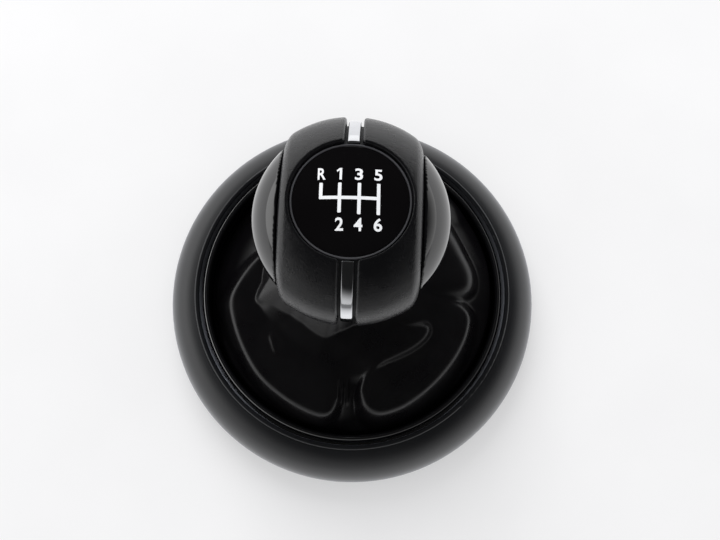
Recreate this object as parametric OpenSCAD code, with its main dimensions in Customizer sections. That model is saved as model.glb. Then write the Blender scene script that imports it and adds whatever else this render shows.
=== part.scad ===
// Leather gear shift knob with its gaiter and round trim ring.
// The ring stands on z = 0 around the origin, the driver sits toward -Y.
// Knob pieces are drawn upright round the middle of the knob and put in place by on_lever().

/* [Lever] */
// Depth of the lever's pivot below the console surface
pivot_depth = 100; // [80:1:140]
// Height of the knob's middle above the console, along the lever
knob_height = 79; // [76:0.5:90]
// Lean of the lever away from the driver, in degrees
lever_lean = 2.4; // [0:0.2:5]
// Radius of the lever's end, which the knob pushes onto
lever_r = 6; // [5:0.25:6.5]
// Depth of the socket that takes the lever
socket_depth = 42; // [36:1:44]

/* [Knob] */
// Half the width of the knob, across its two glossy cheeks
cheek_r = 27; // [25.5:0.25:28.5]
// Height of the cheeks' outline above the knob's middle
cheek_top = 19.5; // [18.5:0.25:21]
// Depth of the cheeks' outline below the knob's middle
cheek_bottom = 23; // [21:0.25:25]
// Radius of the arc round the cheeks' outline at its widest
cheek_arc = 15; // [13:0.5:17]
// Wall of the moulded cheeks
cheek_wall = 2.2; // [1.6:0.1:3]
// Half the length of the leather band, from the knob's middle to its front
band_r = 29; // [28:0.1:31]
// Height of the leather band above the knob's middle
band_top = 20.4; // [19.5:0.1:22]
// Depth of the leather band below the knob's middle
band_bottom = 25; // [24:0.25:27]
// Radius of the arc round the band's front and back
band_arc = 14.4; // [13:0.1:16]
// Half the width of the leather band
band_half = 18.8; // [17.5:0.1:20]
// Rounding of the band's long edges
band_edge = 2.4; // [1.5:0.1:3.5]
// Thickness of the leather
leather_t = 1.1; // [0.8:0.1:1.4]
// Wall of the half shells under the leather
shell_wall = 1.2; // [1:0.1:1.6]
// Half the width of the slot between the two leather halves
slot_half = 2.4; // [2:0.1:3]

/* [Metal strips] */
// Width of the metal strips
strip_w = 3.4; // [2.4:0.1:3.6]
// Depth of a strip's face under the leather's surface
strip_sunk = 1; // [0.8:0.1:2]
// Thickness of the metal strips
strip_t = 1.2; // [0.8:0.1:1.5]
// How far the strips run down past the knob's middle
strip_drop = 13; // [8:1:15]

/* [Badge] */
// Radius of the opening in the leather
badge_r = 16; // [15:0.25:17]
// Radius of the lens
lens_r = 15; // [13.5:0.1:15]
// Height of the lens edge above the knob's middle
lens_edge_z = 15.2; // [14.5:0.1:16]
// Rise of the lens from its edge to its middle
lens_rise = 2; // [1:0.1:3]
// Floor of the badge pocket above the knob's middle
pocket_z = 10.8; // [10:0.1:11.5]
// Wall of the badge holder under the lens
holder_floor = 1.4; // [1:0.1:1.8]

/* [Neck] */
// Outer radius of the lever insert
insert_r = 8; // [7.75:0.25:8.5]
// Thickness of the rubber bush round the insert
bush_t = 2.2; // [1.6:0.1:2.6]
// Radius of the neck shroud's flange, inside the leather's lower opening
shroud_r = 13; // [12.5:0.1:14]
// Radius of the neck that the gaiter is tied round
neck_r = 11; // [10.8:0.1:11.4]
// How far the neck's lip stands out below the tie
neck_lip = 0.5; // [0.3:0.1:0.8]
// Depth of the shroud's lower end below the knob's middle
shroud_z = 34; // [32:0.5:36]
// Width of the tie round the gaiter
tie_w = 3.6; // [2.5:0.1:4.5]
// Thickness of the tie
tie_t = 1.2; // [0.8:0.1:1.6]

/* [Trim ring] */
// Radius of the trim ring at its widest
ring_r = 62.5; // [61:0.5:66]
// Height of the ring's widest level
ring_belly = 8; // [7:0.5:9]
// Radius of the arc that rounds the ring over
crown_r = 16.5; // [16:0.25:18]
// Wall of the moulded ring
ring_wall = 2.4; // [1.8:0.1:3]
// Inner radius of the ring's lip
lip_r = 50.8; // [50.5:0.1:51.5]
// Radius of the rolled lip
lip_bead = 0.8; // [0.6:0.05:1]
// Number of stiffening ribs under the ring
rib_count = 18; // [12:6:24]
// Thickness of a rib
rib_t = 1.4; // [1:0.1:1.8]

/* [Bezel and frame] */
// Middle radius of the glossy bead inside the lip
bead_ring_r = 48.7; // [48.4:0.1:48.9]
// Radius of that bead's own section
bead_r = 1.1; // [0.9:0.05:1.2]
// Height of the bead's middle
bead_z = 22.8; // [21:0.2:23.5]
// Thickness of the bezel's wall and flange
bezel_wall = 1.6; // [1.2:0.1:2]
// Underside of the bezel's flange
bezel_z = 7.6; // [7:0.1:8]
// Outer radius of both flanges
flange_r = 56; // [55:0.25:56.5]
// Thickness of the frame's wall and flange
frame_wall = 2; // [1.6:0.1:2.2]
// Height of the frame's wall above its flange
frame_h = 8; // [6:0.5:9]
// Number of screws that hold the frame
screw_count = 6; // [6:6:12]
// Radius of the circle that the screws stand on
screw_ring_r = 53; // [52.5:0.1:53.5]
// Radius of a screw's shank
screw_r = 1.25; // [1:0.05:1.4]
// Number of spring clips that grip the console
clip_count = 4; // [2:1:6]
// Width of a spring clip
clip_w = 9; // [7:0.5:11]
// Thickness of the clips' spring steel
clip_t = 0.5; // [0.4:0.05:0.6]

/* [Gaiter] */
// Thickness of the gaiter's leatherette
gaiter_t = 1; // [0.8:0.05:1.1]
// Radius of the lowest fold, which runs round inside the ring
roll_r = 39.5; // [38:0.25:41]
// Height of the lowest fold's crest
roll_z = 27.5; // [25:0.5:29]
// Radius of the shoulder under the knob
shoulder_r = 27; // [25:0.5:29]
// Height of the shoulder
shoulder_z = 36.5; // [35:0.5:40]
// Points round the gaiter
gaiter_round = 84; // [60:12:96]

/* [Hidden] */
$fn = 96;
// Far enough to reach past any piece
far = 200;
// Gap between pieces that are glued, pressed or snapped together
seat_gap = 0.1;
// Gap between soft or moving pieces and what they lie against
soft_gap = 0.3;
// Gap all round the lever in its socket
lever_gap = 0.02;

socket_r = lever_r + lever_gap;
bush_r = insert_r + seat_gap + bush_t;
band_t = leather_t + shell_wall + 2 * seat_gap;
holder_r = badge_r - 0.4;
holder_wall = holder_r - lens_r - seat_gap;
core_floor = band_bottom - 4;
shroud_top = core_floor - 3;
shroud_bore = insert_r + soft_gap;
// The socket ends above the shroud, so that the insert stands out below it
socket_top = 2;
insert_end = socket_depth - socket_top;
insert_top = socket_top + 2.5;
spring_z = -insert_end + 4;
spring_wire = 0.6;
post_r = 2;
post_len = 5;
post_places = [[0, 4], [0, -8]];

sleeve_r = neck_r + neck_lip + soft_gap + gaiter_t;

frame_z = bezel_z - seat_gap - frame_wall;
hem_r = bead_ring_r + bead_r - bezel_wall - soft_gap;
frame_r = hem_r - gaiter_t - soft_gap;
boss_z = bezel_z + bezel_wall + seat_gap;
boss_r = 2.6;
head_r = 2.7;
head_h = 2;
screw_len = 8;
tab_r = flange_r - frame_wall;
tab_end = clip_t + seat_gap + 0.4;

// Ends of the gaiter's skin: its hem on the frame, and its sleeve on the neck, measured along the lever
hem_low = frame_z + frame_wall + soft_gap;
hem_top = frame_z + frame_h - 0.5;
neck_z = knob_height + tie_z() - 0.6;
sleeve_top = knob_height + tie_z() + tie_w + 1.6;
neck_y = (neck_z + pivot_depth) * sin(lever_lean);
cloth_rows = 28;
// The fold outlines are drawn for the sizes named here and scaled with the ones in use
fold_scale = roll_r / 39.5;
shoulder_scale = shoulder_r / 27;
// A fold's middle sags over this distance from its edge
sag_reach = 6;
// Slope of the skin from the neck out to the shoulder, and the shoulder's own edge
cone_slope = 0.8;
shoulder_edge = 1.4;
shoulder_steep = 2;
// Shares of the way over which the cloth comes up from the hem, goes over into the sleeve, and turns upright at both
hem_share = 0.04;
neck_share = 0.1;
turn_share = 0.15;
// Cloth between the folds: [share of the way from the hem to the neck, height over the lowest fold]
ground_keys = [
    [0, -14], [0.02, -11], [0.06, -8.5], [0.12, -6.9], [0.22, -5.9], [0.36, -4.5], [0.5, -2.3], [0.62, -0.5], [1, 1.5]
];
// Folds seen from above, with the driver at -y: [height over the lowest fold, edge radius, edge slope, sag, outline]
// The collar lies round the shoulder and falls toward the driver in front of a line
collar_front = -24;
collar_fall = 0.2;
collar = [1.9, 1.8, 1.7, 0, eased([
    [-26, -6], [-24, -18], [-17, -28], [-5, -35], [-4.4, -40.2], [4.8, -40.2], [5.2, -33], [9.6, -27.4],
    [17.4, -23.6], [22.4, -19], [22, -12], [18, 8], [13, 22], [4, 28], [-12, 26], [-24, 15]])];
front_left = [1.3, 2.2, 1.7, 0.3, eased([
    [-25, 8], [-31, 4], [-37.6, -6.4], [-38.2, -11], [-34.1, -21.6], [-27.4, -31.4], [-18.6, -37.7], [-10.8, -40.3],
    [-5.1, -40.2], [-2.8, -37.2], [-4, -30], [-14, -8], [-20, 5]])];
front_right = [0.3, 2.2, 1.7, 1.3, eased([
    [4.9, -34], [5.4, -36.6], [9.2, -39.6], [14, -39.8], [23.6, -34.5], [29.7, -27.6], [34.4, -19.3], [37.8, -8.5],
    [36, -3.6], [28.3, -2], [22.6, -1], [17, -8], [7, -28]])];
rear_right = [4, 2.2, 1.5, 0.5, eased([
    [20, -0.2], [33.4, -0.9], [36.6, 2], [36.6, 6.5], [31, 19], [27.5, 25], [20, 25], [16, 14]])];
rear = [0.5, 4.5, 1, 0.3, eased([
    [28, 27], [21, 34], [13, 38], [3, 39.2], [-8, 37.5], [-17, 33], [-23, 26], [-25, 17], [-22, 8], [-10, 20],
    [6, 24], [18, 20]])];
// Outline of the skin that the neck draws up: a sharp corner at the front left, lobes at the right and behind
shoulder_outline = [
    [-26.6, -1], [-29, -7.4], [-18.4, -12.8], [-7.6, -19], [-2, -14.5], [4, -12.4], [12, -9], [17, -4], [20, 2],
    [22, 8], [20.5, 15], [16, 21], [8, 25], [-1, 26], [-10, 25.5], [-18, 21.5], [-23.5, 14], [-25.5, 6]];

// Radius of the flatter arc of an oval, which meets a side arc of radius arc smoothly
function crown_arc(side, reach, arc) =
    (pow(side - arc, 2) + reach * reach - arc * arc) / (2 * (reach - arc));

// Stands knob pieces on the leaning lever
module on_lever() {
    translate([0, 0, -pivot_depth]) rotate([-lever_lean, 0, 0])
        translate([0, 0, pivot_depth + knob_height]) children();
}

// Repeats a piece round the ring, first copy at angle first
module around(count, first = 0) {
    for (i = [0:count - 1]) rotate([0, 0, first + i * 360 / count]) children();
}

// A quarter of an oval made of two arcs that meet smoothly
module oval_quarter(side, reach, arc) {
    crown = crown_arc(side, reach, arc);
    lean = [side - arc, crown - reach] / (crown - arc);
    intersection() {
        square([side + 1, reach + 1]);
        union() {
            translate([side - arc, 0]) circle(arc);
            intersection() {
                translate([0, reach - crown]) circle(crown);
                translate([0, reach - crown]) polygon([[0, 0], [0, far], far * lean]);
            }
        }
    }
}

// Right half of the knob's outline: inset moves it inward all round
module oval_half(side, top, bottom, arc, inset = 0) {
    oval_quarter(side - inset, top - inset, arc - inset);
    mirror([0, 1]) oval_quarter(side - inset, bottom - inset, arc - inset);
}

module band_oval(inset = 0) {
    rotate_extrude() oval_half(band_r, band_top, band_bottom, band_arc, inset);
}

module cheek_oval(inset = 0) {
    rotate_extrude() oval_half(cheek_r, cheek_top, cheek_bottom, cheek_arc, inset);
}

// What rounding takes off the corner between the line x = half and an arc round the origin
module corner_waste(half, arc, rounding) {
    middle = [half - rounding, sqrt(pow(arc - rounding, 2) - pow(half - rounding, 2))];
    meet = middle * arc / (arc - rounding);
    difference() {
        polygon([middle, [half + 1, middle.y], [half + 1, meet.y + 1], meet * (1 + 2 / arc)]);
        translate(middle) circle(rounding);
    }
}

// Cutter that rounds the band's outer edges, as seen from above, from the front and from below
module edge_cutter(inset, edge) {
    half = band_half - edge;
    rounding = band_edge - inset / 2;
    top_arc = crown_arc(band_r, band_top, band_arc) - inset;
    low_arc = crown_arc(band_r, band_bottom, band_arc) - inset;
    for (turn = [0, 180]) rotate([0, 0, turn]) mirror([turn / 180, 0, 0]) {
        translate([0, 0, -far / 2]) linear_extrude(far)
            corner_waste(half, band_r - inset, rounding);
    }
    rotate([90, 0, 0]) translate([0, 0, -far / 2]) linear_extrude(far) {
        translate([0, band_top - inset - top_arc]) corner_waste(half, top_arc, rounding);
        mirror([0, 1]) translate([0, band_bottom - inset - low_arc])
            corner_waste(half, low_arc, rounding);
    }
}

// Right half of the band between two insets, its own edges set back by edge
module band_piece(outer, inner, edge) {
    difference() {
        intersection() {
            band_oval(outer);
            translate([slot_half + edge, -far / 2, -far / 2])
                cube([band_half - slot_half - 2 * edge, far, far]);
        }
        band_oval(inner);
        edge_cutter(outer, edge);
        cylinder(r = badge_r + edge, h = far);
        translate([0, 0, -far]) cylinder(r = shroud_r + soft_gap + edge, h = far);
    }
}

module leather_half() {
    difference() {
        band_piece(0, band_t - seat_gap, 0);
        band_piece(leather_t, band_t + 1, leather_t);
    }
}

module shell_half() {
    edge = leather_t + seat_gap;
    band_piece(edge, edge + shell_wall, edge);
}

module left_leather() {
    color("#232325") on_lever() mirror([1, 0, 0]) leather_half();
}

module right_leather() {
    color("#232325") on_lever() leather_half();
}

module left_shell() {
    color("#3a3b3d") on_lever() mirror([1, 0, 0]) shell_half();
}

module right_shell() {
    color("#3a3b3d") on_lever() shell_half();
}

// Glossy side cap with two posts that plug into the core
module cheek() {
    inner_face = band_half + seat_gap;
    intersection() {
        difference() {
            cheek_oval();
            intersection() {
                cheek_oval(cheek_wall);
                translate([inner_face + cheek_wall, -far / 2, -far / 2]) cube(far);
            }
        }
        translate([inner_face, -far / 2, -far / 2]) cube(far);
    }
    for (place = post_places) translate([inner_face + 1, place.x, place.y])
        rotate([0, -90, 0]) cylinder(r = post_r, h = post_len + 1);
}

module left_cheek() {
    color("#0b0b0c") on_lever() mirror([1, 0, 0]) cheek();
}

module right_cheek() {
    color("#0b0b0c") on_lever() cheek();
}

// Outline of the strips in the knob's middle plane, between two insets
module strip_outline(outer, inner) {
    difference() {
        oval_half(band_r, band_top, band_bottom, band_arc, outer);
        oval_half(band_r, band_top, band_bottom, band_arc, inner);
        square([badge_r, far]);
        translate([0, -far - strip_drop]) square([far, far]);
    }
}

module strip() {
    rotate([90, 0, 90]) translate([0, 0, -strip_w / 2])
        linear_extrude(strip_w) strip_outline(strip_sunk, strip_sunk + strip_t);
}

module front_strip() {
    color("#c9cbce") on_lever() mirror([0, 1, 0]) strip();
}

module rear_strip() {
    color("#c9cbce") on_lever() strip();
}

// Groove in the core that a strip is pressed into
module strip_groove() {
    depth = strip_sunk + strip_t + seat_gap;
    rotate([90, 0, 90]) translate([0, 0, -strip_w / 2 - seat_gap])
        linear_extrude(strip_w + 2 * seat_gap) difference() {
            translate([badge_r - 1, -strip_drop - seat_gap]) square(far);
            oval_half(band_r, band_top, band_bottom, band_arc, depth);
        }
}

module knob_core() {
    color("#2b2c2e") on_lever() difference() {
        intersection() {
            band_oval(band_t);
            translate([-band_half, -far / 2, -core_floor]) cube([2 * band_half, far, far]);
        }
        translate([0, 0, pocket_z]) cylinder(r = holder_r + seat_gap, h = far);
        translate([0, 0, -far]) cylinder(r = bush_r + seat_gap, h = far + insert_top + seat_gap);
        translate([0, 0, -far - shroud_top]) cylinder(r = shroud_r + seat_gap, h = far);
        strip_groove();
        mirror([0, 1, 0]) strip_groove();
        for (side = [0, 1], place = post_places) mirror([side, 0, 0])
            translate([band_half + 1, place.x, place.y]) rotate([0, -90, 0])
                cylinder(r = post_r + seat_gap, h = post_len + 2);
    }
}

module badge_holder() {
    color("#151516") on_lever() difference() {
        translate([0, 0, pocket_z + seat_gap])
            cylinder(r = holder_r, h = lens_edge_z - pocket_z - seat_gap);
        translate([0, 0, pocket_z + holder_floor])
            cylinder(r = holder_r - holder_wall, h = far);
    }
}

module badge_lens() {
    ball = (lens_r * lens_r + lens_rise * lens_rise) / (2 * lens_rise);
    color("#0a0a0b") on_lever() rotate_extrude() intersection() {
        translate([0, pocket_z + holder_floor + seat_gap]) square([lens_r, far]);
        translate([0, lens_edge_z + lens_rise - ball]) circle(ball);
    }
}

// Rubber bush between the insert and the core
module damper_bush() {
    length = shroud_top + insert_top - 1;
    color("#1d1d1d") on_lever() translate([0, 0, insert_top - length]) difference() {
        cylinder(r = bush_r, h = length);
        translate([0, 0, -1]) cylinder(r = insert_r + seat_gap, h = length + 2);
    }
}

// Metal sleeve with the blind bore for the lever and a groove for its spring ring
module lever_insert() {
    color("#9a9c9f") on_lever() difference() {
        translate([0, 0, -insert_end]) cylinder(r = insert_r, h = insert_end + insert_top);
        translate([0, 0, -insert_end - 1]) cylinder(r = socket_r, h = socket_depth + 1);
        translate([0, 0, -insert_end - 0.01])
            cylinder(r1 = socket_r + 0.8, r2 = socket_r, h = 0.8);
        translate([0, 0, spring_z]) rotate_extrude()
            translate([insert_r, 0]) circle(spring_wire + seat_gap, $fn = 24);
    }
}

// Open ring of spring wire round the insert
module retaining_spring() {
    gap_angle = 24;
    color("#b0b2b5") on_lever() translate([0, 0, spring_z]) rotate([0, 0, gap_angle / 2])
        rotate_extrude(angle = 360 - gap_angle)
            translate([insert_r + 0.05, 0]) circle(spring_wire, $fn = 24);
}

// Shroud under the knob, with the waist that the gaiter is tied round
module neck_shroud() {
    flange = 5;
    lip = 1.5;
    lip_r = neck_r + neck_lip;
    top = shroud_z - shroud_top - seat_gap;
    color("#202123") on_lever() translate([0, 0, -shroud_z]) difference() {
        rotate_extrude() polygon([
            [0, 0], [lip_r, 0], [lip_r, lip], [neck_r, lip + neck_lip],
            [neck_r, top - flange - 2], [shroud_r, top - flange], [shroud_r, top], [0, top]
        ]);
        translate([0, 0, -1]) cylinder(r = shroud_bore, h = far);
    }
}

// Tie with its square head, drawn tight round the gaiter's top
module gaiter_tie() {
    inner = sleeve_r + soft_gap;
    color("#111112") on_lever() translate([0, 0, tie_z()]) {
        difference() {
            union() {
                cylinder(r = inner + tie_t, h = tie_w);
                translate([-tie_w * 0.6, inner, 0]) cube([tie_w * 1.2, tie_t + 2, tie_w]);
            }
            translate([0, 0, -1]) cylinder(r = inner, h = tie_w + 2);
        }
    }
}

// Lower edge of the tie, measured from the knob's middle
function tie_z() = -shroud_z + 3.2;

// Section of the ring's moulding: one arc from the foot over the belly to the lip
module ring_section() {
    middle = [ring_r - crown_r, ring_belly];
    lip = [lip_r + lip_bead, ring_belly + sqrt(pow(crown_r, 2) - pow(lip_r - middle.x, 2)) - lip_bead];
    intersection() {
        translate([lip_r, 0]) square(far);
        difference() {
            translate(middle) circle(crown_r);
            translate(middle) circle(crown_r - ring_wall);
            square([lip.x, far]);
        }
    }
    translate(lip) circle(lip_bead, $fn = 32);
    translate([lip_r, boss_z]) square([ring_wall - 0.6, lip.y - boss_z]);
}

// Section of a rib, from the inner wall to the crown
module rib_section() {
    intersection() {
        translate([ring_r - crown_r, ring_belly]) circle(crown_r - ring_wall / 2);
        translate([lip_r + 1, boss_z]) square(far);
    }
}

module trim_ring() {
    color("#2a2b2e") difference() {
        union() {
            rotate_extrude($fn = 180) ring_section();
            around(rib_count, 180 / rib_count) rotate([90, 0, 0])
                translate([0, 0, -rib_t / 2]) linear_extrude(rib_t) rib_section();
            intersection() {
                rotate_extrude() rib_section();
                around(screw_count) translate([screw_ring_r, 0, boss_z])
                    cylinder(r = boss_r, h = far, $fn = 32);
            }
        }
        around(screw_count) translate([screw_ring_r, 0, 0])
            cylinder(r = screw_r + 0.02, h = frame_z + screw_len + 0.5, $fn = 32);
    }
}

module flange_holes() {
    around(screw_count) translate([screw_ring_r, 0, 0])
        cylinder(r = screw_r + 0.25, h = 2 * boss_z, $fn = 32);
}

// Glossy ring just inside the lip, with a bead on top and a flange below
module bezel_ring() {
    wall_in = bead_ring_r + bead_r - bezel_wall;
    color("#0c0c0d") difference() {
        rotate_extrude($fn = 180) {
            translate([bead_ring_r, bead_z]) circle(bead_r, $fn = 32);
            translate([wall_in, bezel_z]) square([bezel_wall, bead_z - bezel_z]);
            translate([wall_in, bezel_z]) square([flange_r - wall_in, bezel_wall]);
        }
        flange_holes();
    }
}

// Inner frame that clamps the gaiter's hem, with the tabs that carry the clips
module gaiter_frame() {
    color("#2e2f31") difference() {
        union() {
            rotate_extrude($fn = 180) {
                translate([frame_r - frame_wall, frame_z]) square([frame_wall, frame_h]);
                translate([frame_r - frame_wall, frame_z])
                    square([flange_r - frame_r + frame_wall, frame_wall]);
            }
            around(clip_count, 45) translate([tab_r, -clip_w / 2 + 1, tab_end])
                cube([frame_wall, clip_w - 2, frame_z + frame_wall / 2 - tab_end]);
        }
        flange_holes();
    }
}

module frame_screws() {
    color("#8c8e91") around(screw_count) translate([screw_ring_r, 0, frame_z - head_h - 0.02])
        difference() {
            union() {
                cylinder(r = head_r, h = head_h, $fn = 32);
                cylinder(r = screw_r, h = head_h + screw_len, $fn = 32);
            }
            translate([0, 0, -0.01]) for (turn = [0, 90]) rotate([0, 0, turn])
                translate([-1.5, -0.3, 0]) cube([3, 0.6, 1]);
        }
}

// Folded spring clip on each tab, with its outer leaf sprung outward
module console_clips() {
    inner = tab_r - seat_gap - clip_t;
    outer = tab_r + frame_wall + seat_gap;
    low = tab_end - seat_gap - clip_t;
    top = frame_z - seat_gap;
    color("#7e8083") around(clip_count, 45) rotate([90, 0, 0])
        translate([0, 0, -clip_w / 2]) linear_extrude(clip_w) {
            translate([inner, low]) square([outer + clip_t - inner, clip_t]);
            translate([inner, low]) square([clip_t, top - low]);
            polygon([
                [outer, low], [outer + clip_t, low], [outer + clip_t + 0.7, top - 1.5],
                [outer + clip_t, top], [outer, top], [outer + 0.7, top - 1.5]
            ]);
        }
}

function blend(a, b, t) = a + (b - a) * t;
function smooth(t) = t < 0 ? 0 : t > 1 ? 1 : t * t * (3 - 2 * t);
// The higher of two heights, with the valley between them filled a little
function soft_max(a, b, width) = (a + b + sqrt((a - b) * (a - b) + width * width)) / 2;

// Closed outline through the points, with its corners eased once
function eased(loop) = [for (i = [0:len(loop) - 1]) let(
    a = loop[i], b = loop[(i + 1) % len(loop)]
) each [blend(a, b, 0.25), blend(a, b, 0.75)]];

// Distance from p to the stretch between a and b
function stretch_gap(p, a, b) = let(
    s = b - a, t = max(0, min(1, ((p - a) * s) / (s * s)))
) norm(p - a - t * s);

// Distance from p to a closed outline, negative inside it
function outline_gap(p, loop) = let(
    last = len(loop) - 1,
    gaps = [for (i = [0:last]) stretch_gap(p, loop[i], loop[i == last ? 0 : i + 1])],
    crossings = [for (i = [0:last]) let(a = loop[i], b = loop[i == last ? 0 : i + 1])
        if ((a.y > p.y) != (b.y > p.y) && p.x < a.x + (b.x - a.x) * (p.y - a.y) / (b.y - a.y)) 1]
) len(crossings) % 2 == 1 ? -min(gaps) : min(gaps);

// How far the cloth falls outside a fold's outline: round first, then a straight slope
function edge_fall(out, radius, steep) = let(
    turned = radius * steep / sqrt(1 + steep * steep), x = max(out, 0), near = min(x, turned)
) radius - sqrt(radius * radius - near * near) + max(x - turned, 0) * steep;

// Height at p of a fold: [height over the lowest fold, edge radius, edge slope, sag, outline]
function fold_height(p, fold) = let(
    out = outline_gap(p / fold_scale, fold[4]) * fold_scale
) roll_z + fold[0] - fold[3] * smooth(-out / sag_reach) - edge_fall(out, fold[1], fold[2]);

// Height at p of the skin that the neck draws up, out to the shoulder's sharp outline
function shoulder_height(p) = let(
    out = outline_gap(p / shoulder_scale, shoulder_outline) * shoulder_scale,
    out_from_neck = norm([p.x, p.y - neck_y])
) shoulder_z + cone_slope * (shoulder_r - out_from_neck)
    - edge_fall(out, shoulder_edge, shoulder_steep);

// Height of the cloth at p, where share is the way from the hem to the neck
function cloth_height(p, share) = let(
    ground = roll_z + lookup(share, ground_keys),
    apron = fold_height(p, collar) - collar_fall * max(collar_front - p.y, 0),
    one = soft_max(soft_max(ground, apron, 1), fold_height(p, front_left), 1),
    two = soft_max(soft_max(one, fold_height(p, front_right), 1), fold_height(p, rear_right), 1)
) soft_max(soft_max(two, fold_height(p, rear), 1), shoulder_height(p), 0.6);

// Point on the neck at an angle, leaned with the lever, at a height along it
function neck_point(radius, height, a) = let(
    y = radius * sin(a), z = height + pivot_depth
) [
    radius * cos(a),
    y * cos(lever_lean) + z * sin(lever_lean),
    z * cos(lever_lean) - y * sin(lever_lean) - pivot_depth
];

// Place on the cloth in plan, moved in from the outside by depth
function cloth_place(share, a, depth) = let(
    hem = (hem_r - depth) * [cos(a), sin(a)], neck = neck_point(sleeve_r - depth, neck_z, a)
) [blend(hem.x, neck.x, share), blend(hem.y, neck.y, share)];

// Height of the cloth tied down to the hem at one end and to the neck at the other
function tied_height(share, a) = let(
    p = cloth_place(share, a, 0),
    free = blend(hem_top, cloth_height(p, share), min(share / hem_share, 1))
) blend(free, neck_point(sleeve_r, neck_z, a).z, smooth((share - 1 + neck_share) / neck_share));

// One closed skin: up the hem, over the folds and up the sleeve, then back down the inside
module gaiter() {
    angles = [for (i = [0:gaiter_round - 1]) i * 360 / gaiter_round];
    shares = [for (k = [0:cloth_rows]) k / cloth_rows];
    heights = [for (share = shares) [for (a = angles) tied_height(share, a)]];
    row_step = (hem_r - sleeve_r) / cloth_rows;
    // Steepness of the cloth, so that its thickness is kept where it stands up
    slopes = [for (k = [0:cloth_rows]) [for (i = [0:gaiter_round - 1]) let(
        up = heights[min(k + 1, cloth_rows)][i] - heights[max(k - 1, 0)][i],
        beside = heights[k][(i + 1) % gaiter_round] - heights[k][(i + gaiter_round - 1) % gaiter_round],
        round_step = 2 * PI * blend(hem_r, sleeve_r, shares[k]) / gaiter_round
    ) min(norm([up / row_step, beside / round_step]) / 2, 2)]];
    outside = [
        for (z = [hem_low, hem_top]) [for (a = angles) [hem_r * cos(a), hem_r * sin(a), z]],
        for (k = [1:cloth_rows]) [for (i = [0:gaiter_round - 1]) let(
            p = cloth_place(shares[k], angles[i], 0)
        ) [p.x, p.y, heights[k][i]]],
        for (z = [neck_z + 1, sleeve_top]) [for (a = angles) neck_point(sleeve_r, z, a)]
    ];
    inside = [
        for (z = [sleeve_top, neck_z + 0.6]) [for (a = angles) neck_point(sleeve_r - gaiter_t, z, a)],
        for (k = [cloth_rows:-1:1]) [for (i = [0:gaiter_round - 1]) let(
            sideways = max(1 - smooth(shares[k] / turn_share), 1 - smooth((1 - shares[k]) / turn_share)),
            p = cloth_place(shares[k], angles[i], gaiter_t * sideways),
            drop = gaiter_t * blend(sqrt(1 + slopes[k][i] * slopes[k][i]), 0.3, sideways)
        ) [p.x, p.y, heights[k][i] - drop]],
        for (z = [hem_top - 0.3, hem_low]) [for (a = angles)
            [(hem_r - gaiter_t) * cos(a), (hem_r - gaiter_t) * sin(a), z]]
    ];
    rows = concat(outside, inside);
    count = len(rows);
    faces = [for (k = [0:count - 1], i = [0:gaiter_round - 1]) let(
        j = (i + 1) % gaiter_round, m = (k + 1) % count,
        a = k * gaiter_round + i, b = k * gaiter_round + j,
        c = m * gaiter_round + j, d = m * gaiter_round + i
    ) each [[a, c, b], [a, d, c]]];
    color("#19191b") polyhedron([for (row = rows) each row], faces, convexity = 6);
}

trim_ring();
bezel_ring();
gaiter_frame();
frame_screws();
console_clips();
gaiter();
gaiter_tie();
neck_shroud();
lever_insert();
retaining_spring();
damper_bush();
knob_core();
left_cheek();
right_cheek();
left_shell();
right_shell();
left_leather();
right_leather();
front_strip();
rear_strip();
badge_holder();
badge_lens();
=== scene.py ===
# Gear shift knob with its leatherette gaiter and round trim ring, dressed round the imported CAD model.
import math

import bmesh
import bpy
import numpy as np
from mathutils import Matrix, Vector


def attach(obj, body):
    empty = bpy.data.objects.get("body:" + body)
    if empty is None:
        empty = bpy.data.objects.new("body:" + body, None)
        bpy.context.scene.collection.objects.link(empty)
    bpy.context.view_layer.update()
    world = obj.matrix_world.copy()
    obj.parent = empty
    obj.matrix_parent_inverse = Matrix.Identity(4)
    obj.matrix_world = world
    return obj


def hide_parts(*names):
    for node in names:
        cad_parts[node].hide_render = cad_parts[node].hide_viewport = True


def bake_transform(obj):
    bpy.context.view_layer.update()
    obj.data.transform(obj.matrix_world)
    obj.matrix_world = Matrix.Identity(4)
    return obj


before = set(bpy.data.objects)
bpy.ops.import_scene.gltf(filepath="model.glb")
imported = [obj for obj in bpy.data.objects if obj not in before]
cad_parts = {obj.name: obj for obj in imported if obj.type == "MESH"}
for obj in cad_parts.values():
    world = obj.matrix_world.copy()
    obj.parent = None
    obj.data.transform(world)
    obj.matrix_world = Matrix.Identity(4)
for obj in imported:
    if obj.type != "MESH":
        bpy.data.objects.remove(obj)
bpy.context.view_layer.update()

mm = 0.001
print("frame loaded:", len(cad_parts), "CAD nodes")

# the lever's frame, as in the CAD source
lever = {"pivotDepth": 100, "knobHeight": 79, "lean": 2.4}


def onLever(points):
    # knob coordinates in mm, upright round the middle of the knob, to the row frame in metres
    p = np.asarray(points, float).reshape(-1, 3)
    lean = math.radians(lever["lean"])
    up = p[:, 2] + lever["pivotDepth"] + lever["knobHeight"]
    y = p[:, 1] * math.cos(lean) + up * math.sin(lean)
    z = up * math.cos(lean) - p[:, 1] * math.sin(lean) - lever["pivotDepth"]
    return np.column_stack([p[:, 0], y, z]) * mm


# camera: fitted to the ring's outline, its lip and the knob in the photograph
cameraView = {
    "focalPixels": 850, "frameWide": 720, "sensor": 36,
    "elevation": 76.7, "azimuth": 2.5, "distance": 297.9,
    "aim": (0, 0, 8), "aimPixel": (352.3, 298.5), "middlePixel": (360, 270),
}


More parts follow.
